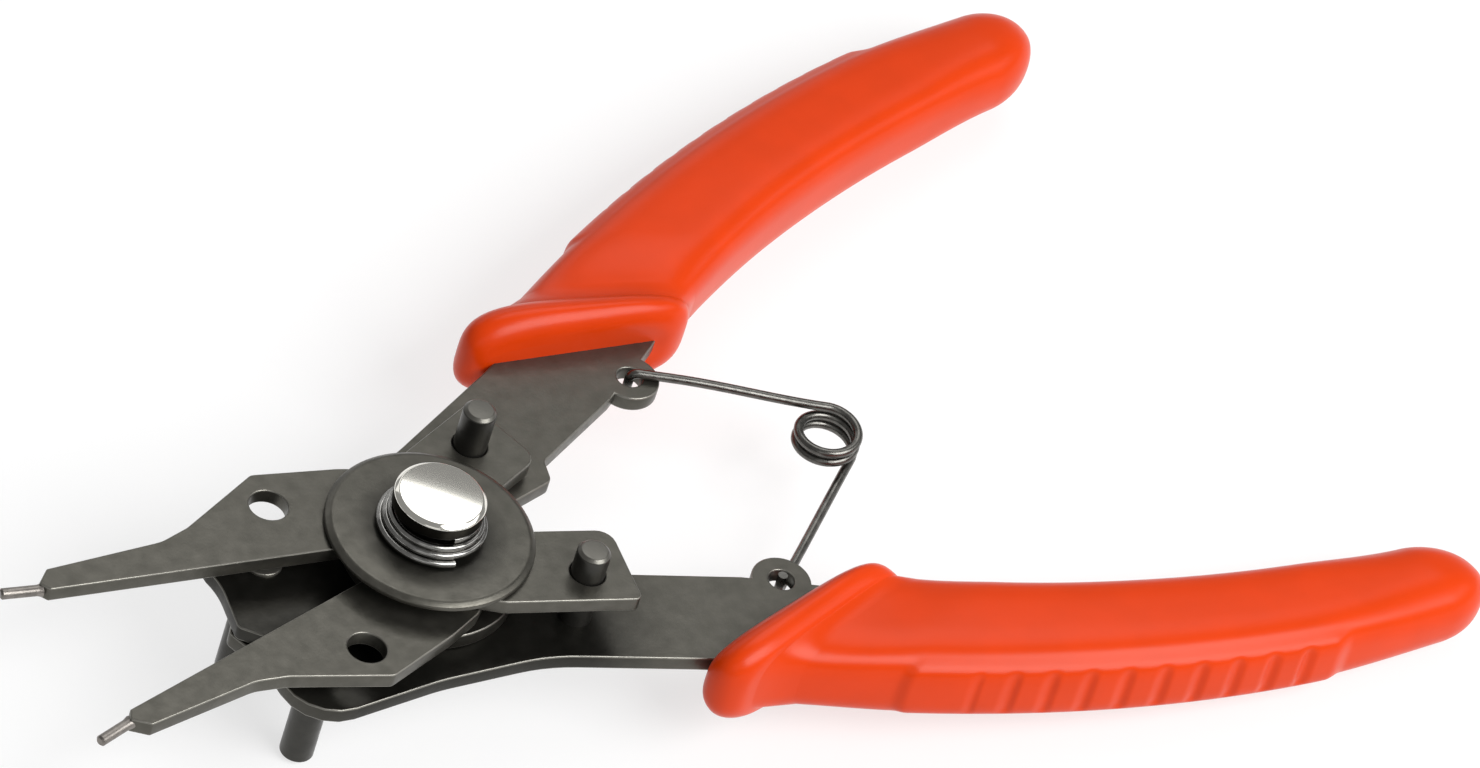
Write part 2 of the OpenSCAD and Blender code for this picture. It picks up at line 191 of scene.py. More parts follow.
def mottled_roughness(tree, surface, cells, low, high):
    """Roughness that wanders between two values."""
    tree.links.new(ramp(tree, grain(tree, cells), (low,) * 3, (high,) * 3), surface.inputs["Roughness"])


def bump(tree, surface, cells, strength, height):
    """Fine relief from noise, with its height in mm."""
    node = tree.nodes.new("ShaderNodeBump")
    node.inputs["Strength"].default_value = strength
    node.inputs["Distance"].default_value = height * MM
    tree.links.new(grain(tree, cells), node.inputs["Height"])
    tree.links.new(node.outputs["Normal"], surface.inputs["Normal"])


# %% Marks on faces
WEAR_AND_PAINTED_LIGHT_MARK = "edge"


def mark_faces(mesh, shares):
    """Says how worn each face is, or how far it is painted lighter or darker as painted light and shade,
    from 0 to 1.
    """
    mark = mesh.attributes.new(WEAR_AND_PAINTED_LIGHT_MARK, "FLOAT", "FACE")
    mark.data.foreach_set("value", np.asarray(shares, np.float32))


def face_mark(tree):
    """The same mark, read by a finish. It is 0 on a mesh that has none."""
    mark = tree.nodes.new("ShaderNodeAttribute")
    mark.attribute_name = WEAR_AND_PAINTED_LIGHT_MARK
    return mark.outputs["Fac"]


def faces_above(mesh, height):
    """Which faces have their middle above a height in mm."""
    return np.array([face.center.z > height * MM for face in mesh.polygons])


# %% [markdown]
# ## Blackened steel
# Plates, jaws and disc are stamped steel under a thin black oxide: satin, a little mottled, and worn lighter
# along the edges. One flat colour would look like paint, so a noise varies both the colour and the gloss,
# and marked faces show bare metal, or on the pins' tops a painted highlight. Round the pivot, under the
# jaws, the plates are painted darker, and so is the disc round the foot of the knob's spring: this painted
# shade is a soft round spot that multiplies the colour.

# %% Blackened steel
MOTTLE_CELLS, SATIN_CELLS, PORE_CELLS = 520, 700, 2600  # noise cells in a metre
MOTTLE_RANGE = (0.25, 0.75)  # of the noise, from the dark tone to the light one
PORE_STRENGTH, PORE_HEIGHT = 0.2, 0.06
# The film here is painted shade round a spot: it keeps this share of the colour and fades out over this
# share of its reach.
PAINTED_SHADE_LEFT = 0.3  # share of the colour that is left under the full film
PAINTED_SHADE_FADE = 0.35  # share of its reach over which the film fades out


def painted_shade_spot(tree, colour, centre, reach):
    """Painted shade: darkens a colour round a point of the plate's plane, out to a reach, both in mm."""
    coords = tree.nodes.new("ShaderNodeTexCoord")
    mapping = tree.nodes.new("ShaderNodeMapping")
    mapping.inputs["Location"].default_value = (-centre[0] / reach, -centre[1] / reach, 0)
    mapping.inputs["Scale"].default_value = (1 / (reach * MM), 1 / (reach * MM), 0)
    spot = tree.nodes.new("ShaderNodeTexGradient")
    spot.gradient_type = "SPHERICAL"
    shade = ramp(tree, spot.outputs["Fac"], (1, 1, 1), (PAINTED_SHADE_LEFT,) * 3, 0, PAINTED_SHADE_FADE)
    painted_shade = tree.nodes.new("ShaderNodeMix")
    painted_shade.data_type = "RGBA"
    painted_shade.blend_type = "MULTIPLY"
    painted_shade.inputs["Factor"].default_value = 1.0
    tree.links.new(coords.outputs["Object"], mapping.inputs["Vector"])
    tree.links.new(mapping.outputs["Vector"], spot.inputs["Vector"])
    tree.links.new(colour, painted_shade.inputs["A"])
    tree.links.new(shade, painted_shade.inputs["B"])
    return painted_shade.outputs["Result"]


def black_steel(name, dark, light, bare_or_lit, metallic, rough, shade_spot=None):
    """Oxide between two tones, bare where it is worn or lighter as a painted highlight. A shade spot is a
    painted shade's centre and reach in mm.
    """
    material, tree, surface = shader(name, Metallic=metallic)
    oxide = ramp(tree, grain(tree, MOTTLE_CELLS), dark, light, *MOTTLE_RANGE)
    # Painted shade: the oxide is darkened round a spot.
    if shade_spot:
        oxide = painted_shade_spot(tree, oxide, *shade_spot)
    bare = tree.nodes.new("ShaderNodeMix")
    bare.data_type = "RGBA"
    bare.inputs["B"].default_value = (*bare_or_lit, 1)
    tree.links.new(face_mark(tree), bare.inputs["Factor"])
    tree.links.new(oxide, bare.inputs["A"])
    tree.links.new(bare.outputs["Result"], surface.inputs["Base Color"])
    mottled_roughness(tree, surface, SATIN_CELLS, *rough)
    bump(tree, surface, PORE_CELLS, PORE_STRENGTH, PORE_HEIGHT)
    return material


PLATE = {"dark": (0.078, 0.075, 0.063), "light": (0.106, 0.101, 0.086), "bare_or_lit": (0.30, 0.29, 0.26),
         "metallic": 0.8, "rough": (0.29, 0.40)}
# The pins' oxide is darker than the plates' as painted shade on their sides; its light tone on a rear pin's
# top is a painted highlight.
PIN_PAINTED_DARK = {"dark": (0.040, 0.039, 0.035), "light": (0.054, 0.052, 0.046), "bare_or_lit": (0.26, 0.25, 0.22),
       "metallic": 0.75, "rough": (0.30, 0.38)}
# Painted shade: spots that darken the plates round the pivot, under the jaws, and the disc under the knob's
# spring.
PAINTED_SHADE_SPOTS = {"upper": ((-16, 0), 26), "lower": ((-1, -6), 28), "disc": ((-0.3, -0.7), 9.4)}
plate_steel = black_steel("black_oxide", **PLATE)
pin_steel_painted_dark = black_steel("pin_oxide_painted_dark", **PIN_PAINTED_DARK)
shade_painted_steel = {where: black_steel(f"shade_painted_oxide_{where}", **PLATE, shade_spot=painted_shade) for where, painted_shade in PAINTED_SHADE_SPOTS.items()}
print("blackened finishes:", 2 + len(shade_painted_steel))


# %% [markdown]
# ## Bare steel and plating
# The tips are tempered brown, the parts inside the pivot are turned bright, and the springs are drawn wire.
# They are all plain metal, so one function makes them, with a darker tone here and there from handling.
# The knob is plated and polished on top, and its side is painted black as painted shade, which its mesh
# marks.

# %% Bare steel and plating
TONE_CELLS, TONE_DETAIL, GLOSS_CELLS = 900, 4, 1500
DARKER = 0.7


def bare_steel(name, colour, rough):
    """Uncoated metal, a little darker in places, with roughness between two values."""
    material, tree, surface = shader(name, Metallic=1.0)
    darker = tuple(c * DARKER for c in colour)
    tone = ramp(tree, grain(tree, TONE_CELLS, TONE_DETAIL), darker, colour)
    tree.links.new(tone, surface.inputs["Base Color"])
    mottled_roughness(tree, surface, GLOSS_CELLS, *rough)
    return material


def plating_painted_dark_side(bright, black):
    """Bright plating, painted black where a face is marked: painted shade on the knob's side."""
    material, tree, surface = shader("plating_painted_dark_side", Metallic=1.0, Roughness=0.1)
    tree.links.new(ramp(tree, face_mark(tree), bright, black, 0, 1), surface.inputs["Base Color"])
    return material


tip_steel = bare_steel("tempered_tip", (0.26, 0.24, 0.22), (0.34, 0.46))
bright_steel = bare_steel("bright_turned", (0.46, 0.45, 0.43), (0.14, 0.24))
coil_steel = bare_steel("coil_wire", (0.33, 0.325, 0.31), (0.14, 0.24))
spring_steel = bare_steel("drawn_wire", (0.15, 0.146, 0.135), (0.24, 0.36))
plating = plating_painted_dark_side((0.86, 0.84, 0.77), (0.05, 0.048, 0.044))
print("bare finishes:", [m.name for m in (tip_steel, bright_steel, coil_steel, spring_steel, plating)])


# %% [markdown]
# ## Grip vinyl
# The grips are soft vinyl, coloured right through, with a faint grain and a waxy shine. A coat layer would
# make them look lacquered, so the shine comes from a middling roughness and a low specular level alone.

# %% Grip vinyl
CLOUD_CELLS, SKIN_CELLS = 180, 1500
SKIN_STRENGTH, SKIN_HEIGHT = 0.08, 0.08


def grip_vinyl(deep, light):
    """Vinyl whose colour wanders between two near tones."""
    material, tree, surface = shader("grip_vinyl", Roughness=0.29, IOR=1.45, Specular_IOR_Level=0.22)
    tree.links.new(ramp(tree, grain(tree, CLOUD_CELLS), deep, light), surface.inputs["Base Color"])
    bump(tree, surface, SKIN_CELLS, SKIN_STRENGTH, SKIN_HEIGHT)
    return material


vinyl = grip_vinyl((0.60, 0.040, 0.0012), (0.63, 0.042, 0.0015))
print("grip finish:", vinyl.name)


# %% [markdown]
# ## Stamped plates and jaws
# A stamping is a flat outline with holes, cut through sheet steel, so its edges are only lightly rounded.
# The outline is read back from the CAD piece's top face. A flat curve with a small bevel then gives the same
# plate with soft edges, which is what makes the thin bright lines along a real plate's rim.

# %% Plate outlines
LEVEL = 1e-3  # mm; a point this near to the top lies in the top face


def outline_loops(node):
    """Closed loops of the top face of a flat CAD node, with its lowest and highest z, in mm."""
    points, faces = cad_mesh(node)
    top = points[:, 2].max()
    edges = {}
    for face in faces:
        if all(abs(points[i][2] - top) < LEVEL for i in face):
            edges.update(dict.fromkeys(zip(face, face[1:] + face[:1])))
    follow = {a: b for a, b in edges if (b, a) not in edges}
    loops = []
    while follow:
        start, point = follow.popitem()
        loop = [start]
        while point != start:
            loop.append(point)
            point = follow.pop(point)
        loops.append([points[i][:2] for i in loop])
    return loops, points[:, 2].min(), top


SHEETS = ("upper_handle_plate", "upper_jaw", "lower_handle_plate", "lower_jaw")
outlines = {node: outline_loops(node) for node in SHEETS}
print("outline and hole loops:", {node: len(outline[0]) for node, outline in outlines.items()})

# %% Soft edges
BEVEL_STEPS = 3
SHEET_SHARP = 50  # degrees
RIM_WEAR = 0.5
RIM_TILT = (0.1, 0.97)  # the z of a rounded rim's normals lies between these
FLAT_TILT = 0.999


def sheet_mesh(name, loops, low, top, bevel):
    """A sheet with an outline and holes, and edges rounded by a bevel in mm."""
    curve = bpy.data.curves.new(name, "CURVE")
    curve.dimensions = "2D"
    curve.fill_mode = "BOTH"
    for loop in loops:
        spline = curve.splines.new("POLY")
        spline.points.add(len(loop) - 1)
        for point, (x, y) in zip(spline.points, loop):
            point.co = (x * MM, y * MM, 0, 1)
        spline.use_cyclic_u = True
    curve.extrude = ((top - low) / 2 - bevel) * MM
    curve.bevel_depth = bevel * MM
    curve.bevel_resolution = BEVEL_STEPS
    curve.offset = -bevel * MM
    maker = bpy.data.objects.new(name + "_curve", curve)
    bpy.context.scene.collection.objects.link(maker)
    graph = bpy.context.evaluated_depsgraph_get()
    mesh = bpy.data.meshes.new_from_object(maker.evaluated_get(graph))
    bpy.data.objects.remove(maker)
    mesh.transform(Matrix.Translation((0, 0, (low + top) / 2 * MM)))
    merge_seams(mesh)
    return mesh


def shade_sheet(mesh):
    """Marks the rounded rim as worn, and lets the flat faces set the normals at their borders."""
    tilt = np.array([face.normal.z for face in mesh.polygons])
    mark_faces(mesh, RIM_WEAR * ((abs(tilt) > RIM_TILT[0]) & (abs(tilt) < RIM_TILT[1])))
    mesh.shade_smooth()
    mesh.set_sharp_from_angle(angle=math.radians(SHEET_SHARP))
    normals = [Vector(n.vector) for n in mesh.corner_normals]
    level = {}
    for face, z in zip(mesh.polygons, tilt):
        if abs(z) > FLAT_TILT:
            level.update(dict.fromkeys(face.vertices, Vector((0, 0, math.copysign(1, z)))))
    for loop in mesh.loops:
        normals[loop.index] = level.get(loop.vertex_index, normals[loop.index])
    mesh.normals_split_custom_set(normals)


# %% Plates and jaws
PLATE_BEVEL, JAW_BEVEL = 0.22, 0.2


def flat_piece(name, node, material, body, bevel):
    """A plate or jaw with its CAD outline and soft edges."""
    mesh = sheet_mesh(name, *outlines[node], bevel)
    shade_sheet(mesh)
    piece(name, mesh, material, body, node)
    print(name, "faces:", len(mesh.polygons))


# A jaw hangs on the rear pin of the other side's handle, so it moves with that handle.
JAW_BODY = {"upper": "lower_handle", "lower": "upper_handle"}
# The plates' finish carries painted shade round the pivot, under the jaws.
for side in ("upper", "lower"):
    flat_piece(f"{side}_plate", f"{side}_handle_plate", shade_painted_steel[side], f"{side}_handle", PLATE_BEVEL)
    flat_piece(f"{side}_jaw_plate", f"{side}_jaw", plate_steel, JAW_BODY[side], JAW_BEVEL)


# %% [markdown]
# ## Turned pieces
# Pins, disc, knob, flange, sleeve, washer and post are all turned on a lathe: a profile spun round an axis.
# A cylinder with a bevel would do for some of them, but a profile with rounded corners does for all.
# Each profile takes its sizes from the CAD piece's box. A corner is [radius, height, rounding] in mm.

# %% Lathe
SEGMENTS, ROUND_STEPS = 96, 4
TURNED_SHARP = 30  # degrees
ON_AXIS = 1e-6  # mm; a smaller radius is a point on the axis


def rounded_profile(corners):
    """Profile points [radius, height] with each corner rounded."""
    profile = []
    for i, (r, z, size) in enumerate(corners):
        corner = np.array([r, z], float)
        if size == 0 or i in (0, len(corners) - 1):
            profile.append(corner)
            continue
        before = np.array(corners[i - 1][:2], float) - corner
        after = np.array(corners[i + 1][:2], float) - corner
        before = before / np.linalg.norm(before)
        after = after / np.linalg.norm(after)
        reach = size / math.tan(math.acos(np.clip(before @ after, -1, 1)) / 2)
        for t in np.linspace(0, 1, ROUND_STEPS + 1):
            profile.append(corner + reach * ((1 - t) ** 2 * before + t * t * after))
    return profile


def lathe(name, corners, centre, closed):
    """A profile spun round an upright axis. A closed profile leaves a bore in the middle."""
    angles = 2 * math.pi * np.arange(SEGMENTS) / SEGMENTS
    points, rings = [], []
    for r, z in rounded_profile(corners + corners[:1] if closed else corners):
        ring = angles if r > ON_AXIS else angles[:1]
        rings.append(range(len(points), len(points) + len(ring)))
        points += [(centre[0] + r * math.cos(a), centre[1] + r * math.sin(a), z) for a in ring]
    faces = []
    for one, two in zip(rings, rings[1:]):
        for k in range(SEGMENTS):
            j = (k + 1) % SEGMENTS
            quad = [one[k % len(one)], one[j % len(one)], two[j % len(two)], two[k % len(two)]]
            face = list(dict.fromkeys(quad))
            if len(face) > 2:
                faces.append(face)
    mesh = new_mesh(name, points, faces, TURNED_SHARP)
    merge_seams(mesh)
    return mesh


def turned(name, node, corners, material, body, closed=False):
    """A turned piece on the axis of the CAD node that it stands for."""
    low, high = box_mm(node)
    mesh = lathe(name, corners, (low + high)[:2] / 2, closed)
    piece(name, mesh, material, body, node)
    print(name, "points:", len(mesh.vertices))
    return mesh


# %% [markdown]
# ## Pins
# Each plate carries two pins, riveted into it by a thinner end. The rear pin stands up and drives a jaw, and
# its top is painted lighter as a painted highlight. The front pin points down, for jaws that are worn on the
# other side, and its rivet shows on the plate with a lighter head. The upper front pin has a neck where it
# passes the lower plate, and a wider rivet head. The pins' oxide is darker than the plates', painted shade.

# %% Pins
RIVET_R, RIVET_ROUND = 1.3, 0.25
HEAD_R, NECK_R = 2.3, 1.6  # of the upper front pin
SHOULDER_GAP = 0.6  # from the lower plate down to where the pin has its full width
CHAMFER, CHAMFER_ROUND = 0.45, 0.3
# A rear pin's top is painted lighter, a painted highlight.
TOP_PAINTED_LIGHT, TOP_PAINTED_DEPTH, RIVET_LIGHTER = 0.35, 0.35, 0.7


def pin_end(r, z, inward):
    """The chamfered end of a pin, from its wall to its axis. Inward is 1 up the pin or -1 down it."""
    return [[r, z + inward * CHAMFER, CHAMFER_ROUND], [r - CHAMFER, z, CHAMFER_ROUND], [0, z, 0]]


def rear_stud(side, seat):
    """The pin that stands on a plate, whose upper face is at the height of seat."""
    low, high = box_mm(f"{side}_rear_pin")
    r = (high[0] - low[0]) / 2
    corners = [[0, low[2], 0], [RIVET_R, low[2], 0], [RIVET_R, seat, 0], [r, seat, 0],
               *pin_end(r, high[2], -1)]
    mesh = turned(f"{side}_rear_stud", f"{side}_rear_pin", corners,
                  pin_steel_painted_dark, f"{side}_handle")
    # Painted highlight on the pin's top.
    mark_faces(mesh, TOP_PAINTED_LIGHT * faces_above(mesh, high[2] - TOP_PAINTED_DEPTH))


def front_stud(side, under, seat):
    """The pin that hangs from a plate, whose faces are at the heights of under and seat."""
    low, high = box_mm(f"{side}_front_pin")
    r = (high[0] - low[0]) / 2
    neck, head = (NECK_R, HEAD_R) if side == "upper" else (r, RIVET_R)
    shoulder = plate_bottom - SHOULDER_GAP
    corners = [[0, high[2], 0], [head, high[2], RIVET_ROUND], [head, seat, 0], [RIVET_R, seat, 0],
               [RIVET_R, under, 0], [neck, under, 0], [neck, shoulder, 0], [r, shoulder, 0],
               *pin_end(r, low[2], 1)]
    mesh = turned(f"{side}_front_stud", f"{side}_front_pin", corners,
                  pin_steel_painted_dark, f"{side}_handle")
    # The rivet's head is lighter than the plate.
    mark_faces(mesh, RIVET_LIGHTER * faces_above(mesh, seat))


for side in ("upper", "lower"):
    plate_low, plate_high = box_mm(f"{side}_handle_plate")
    rear_stud(side, plate_high[2])
    front_stud(side, plate_low[2], plate_high[2])


# %% [markdown]
# ## Disc and knob
# The disc clamps the jaws. Its upper edge is rounded off by handling, its lower edge only broken.
# The knob is a polished button with a crowned top, pressed on the post's end by a blind socket.

# %% Disc and knob
SLIDE = 0.05  # play of the post in its bores
SPIGOT_R = 2.0  # the post's thinner ends
# An upper edge is cut from a point in from the wall, on the flat, to a point down from the top, on the wall.
DISC_FLAT, DISC_WALL, DISC_ROUND, DISC_WALL_ROUND = 0.7, 0.45, 0.9, 0.3
KNOB_FLAT, KNOB_WALL, KNOB_CROWN, KNOB_ROUND, KNOB_WALL_ROUND = 0.5, 0.5, 0.06, 0.4, 0.35
# A lower edge is only broken, so far in from the wall and up from the underside.
BROKEN_IN, BROKEN_UP, BROKEN_ROUND, KNOB_LOW_ROUND = 0.15, 0.2, 0.1, 0.15
# Below the polished top, the knob's side is painted black as painted shade.
KNOB_BRIGHT = 0.6  # height of the polished top, above the black rim


def axis_size(node):
    """Radius, lowest and highest z of a round node on the pivot axis, in mm."""
    low, high = box_mm(node)
    return high[0], low[2], high[2]


post_r, post_low, post_top = axis_size("plunger_post")
bore_r = post_r + SLIDE
r, low, top = axis_size("pressure_disc")
# The disc's finish carries painted shade round the foot of the knob's spring.
turned("pressure_plate", "pressure_disc",
       [[bore_r, low, 0], [r - BROKEN_IN, low, BROKEN_ROUND], [r, low + BROKEN_UP, BROKEN_ROUND],
        [r, top - DISC_WALL, DISC_WALL_ROUND], [r - DISC_FLAT, top, DISC_ROUND], [bore_r, top, 0]],
       shade_painted_steel["disc"], "disc", closed=True)
r, knob_low, top = axis_size("plunger_knob")
knob = turned("knob", "plunger_knob",
              [[0, post_top, 0], [SPIGOT_R, post_top, 0], [SPIGOT_R, knob_low, 0],
               [r - BROKEN_IN, knob_low, BROKEN_ROUND], [r, knob_low + BROKEN_UP, KNOB_LOW_ROUND],
               [r, top - KNOB_WALL, KNOB_WALL_ROUND], [r - KNOB_FLAT, top - KNOB_CROWN, KNOB_ROUND],
               [0, top, 0]], plating, "plunger")
# Painted shade: the knob's side is marked to be painted black.
mark_faces(knob, ~faces_above(knob, top - KNOB_BRIGHT))


# %% [markdown]
# ## Inside the pivot
# Plates and jaws turn on a flanged sleeve, a washer keeps the jaws off the plates, and a post slides in the
# sleeve with the knob on its upper end and a flange on its lower one. Little of them shows, so they are
# plain turnings with small rounds.

# %% Inside the pivot
SLEEVE_R, COLLAR_T = 5.0, 1.2
FOOT_CHAMFER, FOOT_ROUND, FOOT_TOP_ROUND = 0.4, 0.3, 0.15
SLEEVE_ROUND, WASHER_ROUND = 0.2, 0.15

r, low, foot_top = axis_size("base_flange")
turned("foot_flange", "base_flange",
       [[SPIGOT_R, low, 0], [r - FOOT_CHAMFER, low, FOOT_ROUND], [r, low + FOOT_CHAMFER, FOOT_ROUND],
        [r, foot_top, FOOT_TOP_ROUND], [SPIGOT_R, foot_top, 0]],
       plate_steel, "plunger", closed=True)
r, low, top = axis_size("pivot_sleeve")
turned("sleeve", "pivot_sleeve",
       [[bore_r, low, 0], [r, low, SLEEVE_ROUND], [r, low + COLLAR_T, SLEEVE_ROUND],
        [SLEEVE_R, low + COLLAR_T, 0], [SLEEVE_R, top, SLEEVE_ROUND], [bore_r, top, 0]],
       bright_steel, "upper_handle", closed=True)
washer_bore = SLEEVE_R + SLIDE
r, low, top = axis_size("jaw_washer")
turned("spacer_washer", "jaw_washer",
       [[washer_bore, low, 0], [r, low, WASHER_ROUND], [r, top, WASHER_ROUND], [washer_bore, top, 0]],
       bright_steel, "upper_handle", closed=True)
turned("post", "plunger_post",
       [[0, post_low, 0], [SPIGOT_R, post_low, 0], [SPIGOT_R, foot_top, 0], [post_r, foot_top, 0],
        [post_r, knob_low, 0], [SPIGOT_R, knob_low, 0], [SPIGOT_R, post_top, 0], [0, post_top, 0]],
       bright_steel, "plunger")


# %% [markdown]
# ## Tip pins
# The tips are short tempered pins. They keep the CAD shape and only need smooth shading, so the CAD points
# are copied, merged and shaded.

# %% Tip pins
TIP_SHARP = 35  # degrees

for side in ("upper", "lower"):
    name = f"{side}_tip_pin"
    mesh = new_mesh(name, *cad_mesh(f"{side}_tip"), TIP_SHARP)
    tip = piece(name, mesh, tip_steel, JAW_BODY[side], f"{side}_tip")
    print(name, "size mm:", in_mm(tip.dimensions))


# %% [markdown]
# ## Moulded grips
# A grip is dip-moulded or injected over the plate's tang. Its section is a rounded oblong that is swept
# along two rails, an inner one for the fingers' side and an outer one for the palm. A box under a
# subdivision surface could come near it, but rails and sections keep to the CAD grip's own lines.
# At the front it swells into a straight slanted guard that keeps the hand off the steel.
# The outer side carries a raised pad.

# %% Grip rails and sections
OUTER = np.array([[31.5, 29.6], [53, 40.8], [82, 51.7], [114, 52.6]])
INNER = np.array([[54, 23.2], [70, 31.9], [90, 37.9], [113, 40.8]])
HALF_T, END_HALF_T, LIP = 5.5, 5.0, 0.9  # half thickness of the body and its end, and the guard's rise
NECK = HALF_T - 0.35  # half thickness just behind the guard
# Each section of the guard is its inner end, its outer end and its half thickness.
GUARD = [([47.6, 20.3], [25.3, 24.4], HALF_T * 0.52), ([49, 19.9], [24.2, 25.2], HALF_T * 0.8),
         ([50.3, 20], [23.7, 26.3], HALF_T + LIP * 0.15), ([51.6, 20.5], [23.9, 27.7], HALF_T + LIP),
         ([52.5, 21.2], [24.8, 28.9], HALF_T + LIP * 0.85), ([53.1, 22], [26.4, 29.6], HALF_T + LIP * 0.2),
         ([53.4, 22.5], [28.6, 29.4], NECK)]
GUARD_STEPS = 6
# These are shares of the rails' length.
NECK_END, NECK_FADE, TAPER_START = 0.2, 0.15, 0.4


def bezier(p, t):
    """A point of the curve that leaves the first of four points and reaches the last."""
    return p[0] * (1 - t) ** 3 + p[1] * 3 * t * (1 - t) ** 2 + p[2] * 3 * t * t * (1 - t) + p[3] * t ** 3


def body_section(t):
    """Inner end, outer end and half thickness at a share of the rails' length."""
    half = HALF_T + (NECK - HALF_T) * smooth((NECK_END - t) / NECK_FADE)
    half += (END_HALF_T - half) * smooth((t - TAPER_START) / (1 - TAPER_START))
    return bezier(INNER, t), bezier(OUTER, t), half


def guard_sections():
    """The guard's few sections, joined by a smooth curve through them all."""
    rows = np.array([[*inner, *outer, half] for inner, outer, half in GUARD])
    rows = np.vstack([2 * rows[0] - rows[1], rows, 2 * rows[-1] - rows[-2]])
    curve = []
    for i in range(1, len(rows) - 2):
        p0, p1, p2, p3 = rows[i - 1:i + 3]
        for t in np.arange(GUARD_STEPS) / GUARD_STEPS:
            curve.append(0.5 * (2 * p1 + (p2 - p0) * t + (2 * p0 - 5 * p1 + 4 * p2 - p3) * t ** 2
                                + (3 * p1 - p0 - 3 * p2 + p3) * t ** 3))
    curve.append(rows[-2])
    return [(row[:2], row[2:4], row[4]) for row in curve]


print("guard sections:", len(guard_sections()))
print("width at the rails' end, mm:", round(np.linalg.norm(OUTER[3] - INNER[3]), 1))

# %% Grip rows
SIDES, BODY_ROWS, END_ROWS = 80, 320, 30
BODY_START, ROUNDER = 0.03, 0.8  # shares of the rails' length where the body starts and grows rounder
POWER, END_POWER = 0.58, 0.8  # the lower the power, the squarer the section
END_LEN, END_EDGE = 8.3, 0.2  # length of the rounded end, and the share of thickness that it keeps
END_ANGLES = (3, 88)  # degrees


def grip_rows():
    """Sections from the guard to the rounded end, each with its place on the rails, if any, and power."""
    rows = [(section, None, POWER) for section in guard_sections()]
    for t in np.linspace(BODY_START, 1, BODY_ROWS):
        power = POWER + (END_POWER - POWER) * smooth((t - ROUNDER) / (1 - ROUNDER))
        rows.append((body_section(t), t, power))
    heading = (OUTER[3] - OUTER[2]) + (INNER[3] - INNER[2])
    heading = heading / np.linalg.norm(heading)
    inner, outer, half = body_section(1.0)
    for a in np.radians(np.linspace(*END_ANGLES, END_ROWS)):
        centre = (inner + outer) / 2 + heading * END_LEN * math.sin(a)
        reach = (outer - inner) / 2 * math.cos(a)
        thin = half * (END_EDGE + (1 - END_EDGE) * math.cos(a))
        rows.append(((centre - reach, centre + reach, thin), None, END_POWER))
    return rows


print("rows of a grip:", len(grip_rows()))

# %% Grip rings
# Starts, ends and fades along the grip are shares of the rails' length. Across it, 1 is the outermost point.
PAD_START, PAD_RISE, PAD_END, PAD_FALL, PAD_H = 0.18, 0.032, 0.85, 0.03, 0.8
PAD_SIDE, PAD_SIDE_FADE = 0.82, 0.16
GROOVE_START, GROOVE_END, GROOVE_FADE = 0.29, 0.82, 0.02
GROOVE_SIDE, GROOVE_SIDE_FADE = 0.93, 0.06


def oblong(power):
    """Cosines and sines round a rounded oblong."""
    angle = 2 * math.pi * np.arange(SIDES) / SIDES
    return [np.sign(wave) * np.abs(wave) ** power for wave in (np.cos(angle), np.sin(angle))]


def grip_rings(z_mid):
    """Rings of points. Each point has marks: how far along in mm, its share of grooving, and the way out."""
    rings, marks = [], []
    along, last_outer = 0.0, None
    for (inner, outer, half), t, power in grip_rows():
        cos, sin = oblong(power)
        ring = np.zeros((SIDES, 3))
        ring[:, :2] = (inner + outer) / 2 + np.outer(cos, (outer - inner) / 2)
        ring[:, 2] = z_mid + half * sin
        mark = np.zeros((SIDES, 4))
        if t is not None:
            along += 0 if last_outer is None else np.linalg.norm(outer - last_outer)
            last_outer = outer
            out = (outer - inner) / np.linalg.norm(outer - inner)
            pad = smooth((t - PAD_START) / PAD_RISE) * smooth((PAD_END - t) / PAD_FALL)
            ring[:, :2] += np.outer(PAD_H * pad * smooth((cos - PAD_SIDE) / PAD_SIDE_FADE), out)
            grooved = smooth((t - GROOVE_START) / GROOVE_FADE) * smooth((GROOVE_END - t) / GROOVE_FADE)
            mark[:, 0] = along
            mark[:, 1] = grooved * smooth((cos - GROOVE_SIDE) / GROOVE_SIDE_FADE)
            mark[:, 2:] = out
        rings.append(ring)
        marks.append(mark)
    return rings, np.concatenate(marks)


print("points in a ring:", SIDES, "pad height mm:", PAD_H)

# %% Grip skin
GRIP_SHARP = 60  # degrees


def skin(rings):
    """Quads over the rings, with both ends closed by a fan."""
    n = len(rings[0])
    points = [p for ring in rings for p in ring]
    faces = []
    for first in range(0, (len(rings) - 1) * n, n):
        for j in range(n):
            k = (j + 1) % n
            faces.append([first + j, first + k, first + n + k, first + n + j])
    for ring, first, flip in ((rings[0], 0, True), (rings[-1], (len(rings) - 1) * n, False)):
        points.append(ring.mean(axis=0))
        for j in range(n):
            fan = [first + j, first + (j + 1) % n, len(points) - 1]
            faces.append(fan[::-1] if flip else fan)
    return np.array(points), faces


def grip_mesh(side, sign):
    """A smooth grip with its marks. The lower one is mirrored, so its faces are turned round."""
    low, high = box_mm(f"{side}_handle_plate")
    rings, marks = grip_rings((low[2] + high[2]) / 2)
    points, faces = skin(rings)
    fan_tips = len(points) - len(marks)
    marks = np.vstack([marks, np.zeros((fan_tips, 4))]) * [1, 1, 1, sign]
    points[:, 1] *= sign
    if sign < 0:
        faces = [face[::-1] for face in faces]
    mesh = new_mesh(f"{side}_smooth_grip", points, faces, GRIP_SHARP)
    for name, values in (("along", marks[:, 0]), ("grooved", marks[:, 1])):
        mesh.attributes.new(name, "FLOAT", "POINT").data.foreach_set("value", values.astype(np.float32))
    way = np.column_stack([marks[:, 2:], np.zeros(len(marks))]).astype(np.float32)
    mesh.attributes.new("way_out", "FLOAT_VECTOR", "POINT").data.foreach_set("vector", way.ravel())
    return mesh


